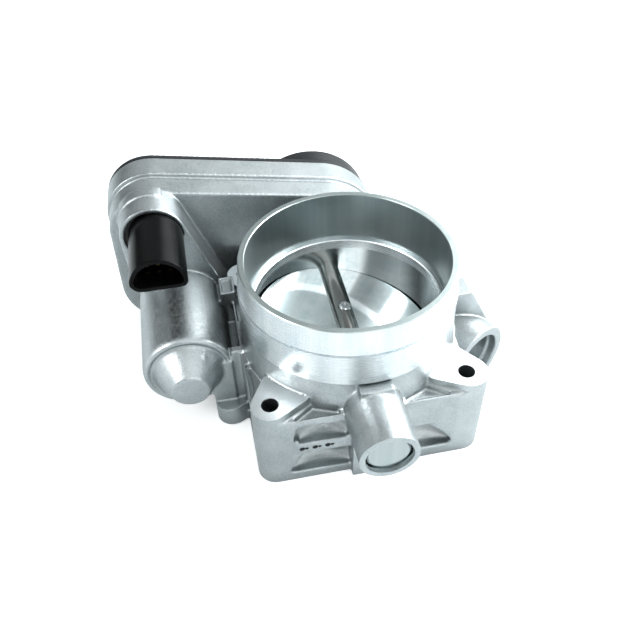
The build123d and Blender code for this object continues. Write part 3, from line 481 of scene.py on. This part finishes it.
def dish(name, low_x, high_x, low_z, high_z, edge_y, deep_y, turn):
    """A block whose front is dished from its edges to its deepest place, turned about the bore."""
    turned = Matrix.Rotation(math.radians(turn), 3, "Z")
    build = bmesh.new()
    front, back = [], []
    row = DISH_STEPS + 1
    for column in range(row):
        for line in range(row):
            along, up = column / DISH_STEPS, line / DISH_STEPS
            sink = max(math.sin(math.pi * along) * math.sin(math.pi * up), 0.0) ** DISH_SHAPE
            x, z = low_x + (high_x - low_x) * along, low_z + (high_z - low_z) * up
            front.append(build.verts.new(turned @ Vector((x, edge_y + (deep_y - edge_y) * sink, z)) * MM))
            back.append(build.verts.new(turned @ Vector((x, POCKET_BACK_Y, z)) * MM))
    for sheet in (front, back):
        for column in range(DISH_STEPS):
            for line in range(DISH_STEPS):
                first = column * row + line
                build.faces.new([sheet[first + move] for move in (0, 1, row + 1, row)])
    border = list(range(row))
    border += [column * row + DISH_STEPS for column in range(1, row)]
    border += [DISH_STEPS * row + line for line in range(DISH_STEPS - 1, -1, -1)]
    border += [column * row for column in range(DISH_STEPS - 1, 0, -1)]
    for index, here in enumerate(border):
        after = border[(index + 1) % len(border)]
        build.faces.new((front[here], front[after], back[after], back[here]))
    bmesh.ops.recalc_face_normals(build, faces=build.faces)
    mesh = bpy.data.meshes.new(name)
    build.to_mesh(mesh)
    build.free()
    return new_object(name, mesh)


def slope_pockets(body):
    """Give the flange's pockets the dished floors that let the casting leave its mould."""
    build = bmesh.new()
    build.from_mesh(body.data)
    for turn in POCKET_TURNS:
        for limits in POCKET_FLOORS:
            floor_piece = dish("pocket_floor", *limits, turn)
            cut(floor_piece, cylinder("inside_bore", LINER_R, (0, 0, -OVERSHOOT), (0, 0, COLLAR_FOOT_Z)))
            build.from_mesh(floor_piece.data)
            bpy.data.objects.remove(floor_piece)
    build.to_mesh(body.data)
    build.free()


def between(values, limits):
    """Whether each value lies between two limits."""
    return (values > limits[0]) & (values < limits[1])


def in_pockets(points):
    """Whether each point is on the pocketed front of the flange, clear of the shaft boss."""
    x, y, z = points.T
    return between(abs(x), SOFT_X) & between(-y, SOFT_DEPTH) & between(z, SOFT_Z)


def on_pads(points):
    """Whether each point is near the top of a bolt pad, and not on the locating block beside one."""
    x, y, z = points.T
    found = (np.hypot(x, y) > PAD_INNER_R) & (z < PAD_REACH_Z)
    found &= between(abs(x), PAD_SIDES) & between(abs(y), PAD_SIDES)
    return found & ~((x < LOCATING_BLOCK_X) & between(y, LOCATING_BLOCK_Y))


def add_stock(points):
    """Move the faces that will be machined outwards, so that their edges aren't rounded off."""
    across = np.hypot(points[:, 0], points[:, 1])
    points[(abs(points[:, 2] - BOSS_TOP_Z) < ON_PLANE) & (across > STOCK_INNER_R), 2] += MACHINING_STOCK
    points[abs(points[:, 2]) < ON_PLANE, 2] -= MACHINING_STOCK
    points[abs(points[:, 1] - BOSS_END_Y) < ON_PLANE, 1] -= MACHINING_STOCK
    points[abs(points[:, 1] - JOINT_Y) < ON_PLANE, 1] += MACHINING_STOCK


def machine_flat(points):
    """Take the machined faces back to their true planes."""
    pads = on_pads(points)
    points[pads, 2] = np.minimum(points[pads, 2], BOSS_TOP_Z)
    points[:, 2] = np.maximum(points[:, 2], 0.0)
    points[:, 1] = np.clip(points[:, 1], BOSS_END_Y, JOINT_Y)


def drill_pits(body):
    """The round pits in the strip on the casting's front, in pairs of a larger and a smaller one."""
    for number, x in enumerate(PIT_XS):
        for place, radius in enumerate(PIT_RADII):
            low = (x + place * PIT_SPACING, STRIP_Y - 2.0, STRIP_Z)
            high = (x + place * PIT_SPACING, STRIP_Y + PIT_DEPTH, STRIP_Z)
            cut(body, cylinder(f"pit_{number}_{place}", radius, low, high, 48))


def polish_pads(body):
    """Give the flat tops of the bolt pads the machined finish, as the mesh's second material."""
    body.data.materials.append(MATERIALS["machined"])
    for face in body.data.polygons:
        x, y, z = (value / MM for value in face.center)
        on_flange = PAD_SIDES[0] < abs(x) < PAD_SIDES[1] and PAD_SIDES[0] < abs(y) < PAD_SIDES[1]
        if on_flange and face.normal.z > PAD_LEVEL and abs(z - BOSS_TOP_Z) < PAD_NEAR:
            face.material_index = 1


def cast_body():
    """The casting below the collar: rounded all over, then machined flat where the real one is."""
    body = welded_copy(frame["nodes"]["throttle_housing"], "housing_casting")
    points = points_of(body.data)
    add_stock(points)
    set_points(body.data, points)
    low, high = (0, 0, COLLAR_FOOT_Z - COLLAR_SEAT), (0, 0, TOP_Z + OVERSHOOT)
    cut(body, cylinder("above_collar", COLLAR_R + CLEAR_OF_COLLAR, low, high))
    low, high = (0, 0, -OVERSHOOT), (0, 0, COLLAR_FOOT_Z + OVERSHOOT / 2)
    cut(body, cylinder("inside_bore", LINER_R, low, high))
    slope_pockets(body)
    rounded(body, voxel=0.45, rounds=8, keep=0.3, soft=in_pockets, soft_rounds=5)
    points = points_of(body.data)
    machine_flat(points)
    set_points(body.data, points)
    drill_pits(body)
    smooth_shade(body)
    paint(body, "cast")
    polish_pads(body)
    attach(body, "housing")
    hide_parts("throttle_housing")


def intake_collar():
    """The turned collar: rim, groove, outer cylinder, inner wall and the step down to the bore."""
    profile = [
        (COLLAR_INNER_R, TOP_Z - 0.25),
        (COLLAR_INNER_R + 0.25, TOP_Z),
        (RIM_R - 0.3, TOP_Z),
        (RIM_R, TOP_Z - 0.3),
        (COLLAR_R - 0.15, GROOVE_Z + 1.0),
        (COLLAR_R - GROOVE_DEPTH, GROOVE_Z + 0.8),
        (COLLAR_R - GROOVE_DEPTH, GROOVE_Z + 0.2),
        (COLLAR_R, GROOVE_Z),
        (COLLAR_R, COLLAR_FOOT_Z + 0.4),
        (COLLAR_R - 0.4, COLLAR_FOOT_Z),
        (LINER_R + 1.0, COLLAR_FOOT_Z - STEP_BELOW_COLLAR),
        (LINER_R, COLLAR_FOOT_Z - STEP_BELOW_COLLAR),
        (BORE_R, COLLAR_FOOT_Z - STEP_BELOW_COLLAR),
        (BORE_R, BORE_TOP_Z - 0.4),
        (BORE_R + 0.4, BORE_TOP_Z),
        (COLLAR_INNER_R, BORE_TOP_Z),
    ]
    collar = lathe("intake_collar", profile)
    smooth_shade(collar, 20.0)
    paint(collar, "turned")
    # The inner wall gets the darker copy of the turned metal: painted shade
    collar.data.materials.append(MATERIALS["inside"])
    # The top face gets the darker copy of the turned metal: painted shade
    collar.data.materials.append(MATERIALS["rim"])
    for face in collar.data.polygons:
        across = math.hypot(face.center.x, face.center.y) / MM
        if across < COLLAR_INNER_R + 0.05 and face.center.z / MM > BORE_TOP_Z + 0.5:
            face.material_index = 1
        elif face.center.z / MM > TOP_Z - 0.2:
            face.material_index = 2
    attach(collar, "housing")


def bore_liner():
    """The mirror-finished wall of the bore, with the shaft's two holes."""
    top = COLLAR_FOOT_Z - STEP_BELOW_COLLAR
    outer = LINER_R + 0.6
    liner = lathe("bore_wall", [(BORE_R, 0.0), (BORE_R, top), (outer, top), (outer, 0.0)])
    cut(liner, cylinder("shaft_line", SHAFT_HOLE_R, (0, -ACROSS_BORE, SHAFT_Z), (0, ACROSS_BORE, SHAFT_Z)))
    smooth_shade(liner, 20.0)
    paint(liner, "bore")
    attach(liner, "housing")


cast_body()
intake_collar()
bore_liner()


# ---------------------------------------------------------------- moulded pieces

def moulded(name, source, key, voxel, rounds, keep):
    """A moulded piece: its CAD solid with rounded edges."""
    piece = rounded(welded_copy(frame["nodes"][source], name), voxel, rounds, keep)
    smooth_shade(piece, 40.0)
    paint(piece, key)
    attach(piece, "housing")
    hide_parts(source)


moulded("gear_cover_moulding", "gear_cover", "cover", 0.45, 5, 0.3)
moulded("connector_moulding", "connector_shell", "connector", 0.3, 4, 0.3)


# ---------------------------------------------------------------- studio

FLOOR_HALF = 6.0
FLOOR_GAP = 0.0002
FLOOR_LIT_TONE = (0.62, 0.65, 0.66)
FLOOR_SEEN_TONE = (0.95, 0.95, 0.95)
FLOOR_GLOW = 0.24


def floor():
    """A wide pale floor just under the part: near-white to the eye, greyer in the part's reflections."""
    mesh = bpy.data.meshes.new("floor")
    corners = [(-FLOOR_HALF, -FLOOR_HALF, 0), (FLOOR_HALF, -FLOOR_HALF, 0), (FLOOR_HALF, FLOOR_HALF, 0),
               (-FLOOR_HALF, FLOOR_HALF, 0)]
    mesh.from_pydata(corners, [], [(0, 1, 2, 3)])
    made = new_object("floor", mesh)
    made.location.z = cad_low[2] - FLOOR_GAP
    material = bpy.data.materials.new("pale_floor")
    material.use_nodes = True
    tree = material.node_tree
    shader = tree.nodes["Principled BSDF"]
    shader.inputs["Roughness"].default_value = 0.9
    shader.inputs["Specular IOR Level"].default_value = 0.0
    rays = tree.nodes.new("ShaderNodeLightPath")
    tone = shade(tree, rays.outputs["Is Camera Ray"], FLOOR_LIT_TONE, FLOOR_SEEN_TONE)
    link(tree, tone, shader.inputs["Base Color"])
    shader.inputs["Emission Color"].default_value = (1, 1, 1, 1)
    glow = tree.nodes.new("ShaderNodeMath")
    glow.operation = "MULTIPLY"
    glow.inputs[1].default_value = FLOOR_GLOW
    link(tree, rays.outputs["Is Camera Ray"], glow.inputs[0])
    link(tree, glow.outputs["Value"], shader.inputs["Emission Strength"])
    made.data.materials.append(material)


def lobe(tree, direction, towards, edge, full):
    """A soft round patch of sky: 0 outside its edge, 1 inside, by the cosine to its middle."""
    dot = tree.nodes.new("ShaderNodeVectorMath")
    dot.operation = "DOT_PRODUCT"
    dot.inputs[1].default_value = Vector(towards).normalized()
    link(tree, direction, dot.inputs[0])
    made = node(tree, "ShaderNodeMapRange")
    made.interpolation_type = "SMOOTHSTEP"
    made.inputs["From Min"].default_value = edge
    made.inputs["From Max"].default_value = full
    link(tree, dot.outputs["Value"], made.inputs["Value"])
    return made.outputs["Result"]


SKY_BASE = 0.11
SKY_LOBES = [
    # towards, edge, full, strength
    ((0.05, -0.1, 1.0), 0.84, 0.98, 1.3),
    ((0.75, 0.42, 0.50), 0.78, 0.91, 3.2),
    ((0.0, 0.95, 0.42), 0.80, 0.96, 0.55),
    ((1.0, -0.45, 0.35), 0.55, 0.9, 1.6),
    ((-1.0, -0.1, 0.45), 0.70, 0.95, 1.1),
    ((-0.1, -1.0, 0.35), 0.65, 0.96, 0.55),
]


def studio_world():
    """A grey room with soft bright patches: overhead, behind, on both sides and in front."""
    world = bpy.data.worlds.new("studio")
    bpy.context.scene.world = world
    world.use_nodes = True
    tree = world.node_tree
    place = tree.nodes.new("ShaderNodeTexCoord")
    total = None
    for towards, edge, full, strength in SKY_LOBES:
        part = tree.nodes.new("ShaderNodeMath")
        part.operation = "MULTIPLY_ADD"
        part.inputs[1].default_value = strength
        part.inputs[2].default_value = SKY_BASE
        link(tree, lobe(tree, place.outputs["Generated"], towards, edge, full), part.inputs[0])
        if total is not None:
            link(tree, total, part.inputs[2])
        total = part.outputs["Value"]
    background = tree.nodes["Background"]
    background.inputs["Color"].default_value = (0.93, 0.985, 1.0, 1.0)
    link(tree, total, background.inputs["Strength"])


SOFTBOXES = [
    # name, place, what it looks at, size, power
    ("right_panel", (0.38, 0.02, 0.30), (0.06, -0.02, 0.03), (0.26, 0.3), 2.4),
    ("front_panel", (0.05, -0.55, 0.5), (0.03, -0.16, 0.0), (0.4, 0.3), 0.55),
    ("left_panel", (-0.7, -0.15, 0.6), (0.0, 0.0, 0.04), (0.3, 0.4), 3.4),
]


def softbox(name, place, target, size, power):
    """A rectangular area light that looks at a point."""
    data = bpy.data.lights.new(name, "AREA")
    data.shape = "RECTANGLE"
    data.size, data.size_y = size
    data.energy = power
    light = bpy.data.objects.new(name, data)
    bpy.context.collection.objects.link(light)
    light.location = place
    light.rotation_euler = (Vector(target) - Vector(place)).to_track_quat("-Z", "Y").to_euler()


def camera():
    """The camera, turned by its azimuth, elevation and roll."""
    data = bpy.data.cameras.new("camera")
    data.lens = CAMERA_LENS
    data.clip_start = 0.01
    data.clip_end = 20.0
    made = bpy.data.objects.new("camera", data)
    bpy.context.collection.objects.link(made)
    azimuth = math.radians(CAMERA_AZIMUTH)
    elevation = math.radians(CAMERA_ELEVATION)
    roll = math.radians(CAMERA_ROLL)
    back = Vector((math.sin(azimuth) * math.cos(elevation), -math.cos(azimuth) * math.cos(elevation),
                   math.sin(elevation)))
    level = Vector((math.cos(azimuth), math.sin(azimuth), 0.0))
    upright = back.cross(level)
    right = level * math.cos(roll) + upright * math.sin(roll)
    up = upright * math.cos(roll) - level * math.sin(roll)
    turn = Matrix((right, up, back)).transposed().to_4x4()
    made.matrix_world = Matrix.Translation(CAMERA_PLACE) @ turn
    bpy.context.scene.camera = made


floor()
studio_world()
for settings in SOFTBOXES:
    softbox(*settings)
camera()
bpy.context.scene.view_settings.view_transform = "Standard"
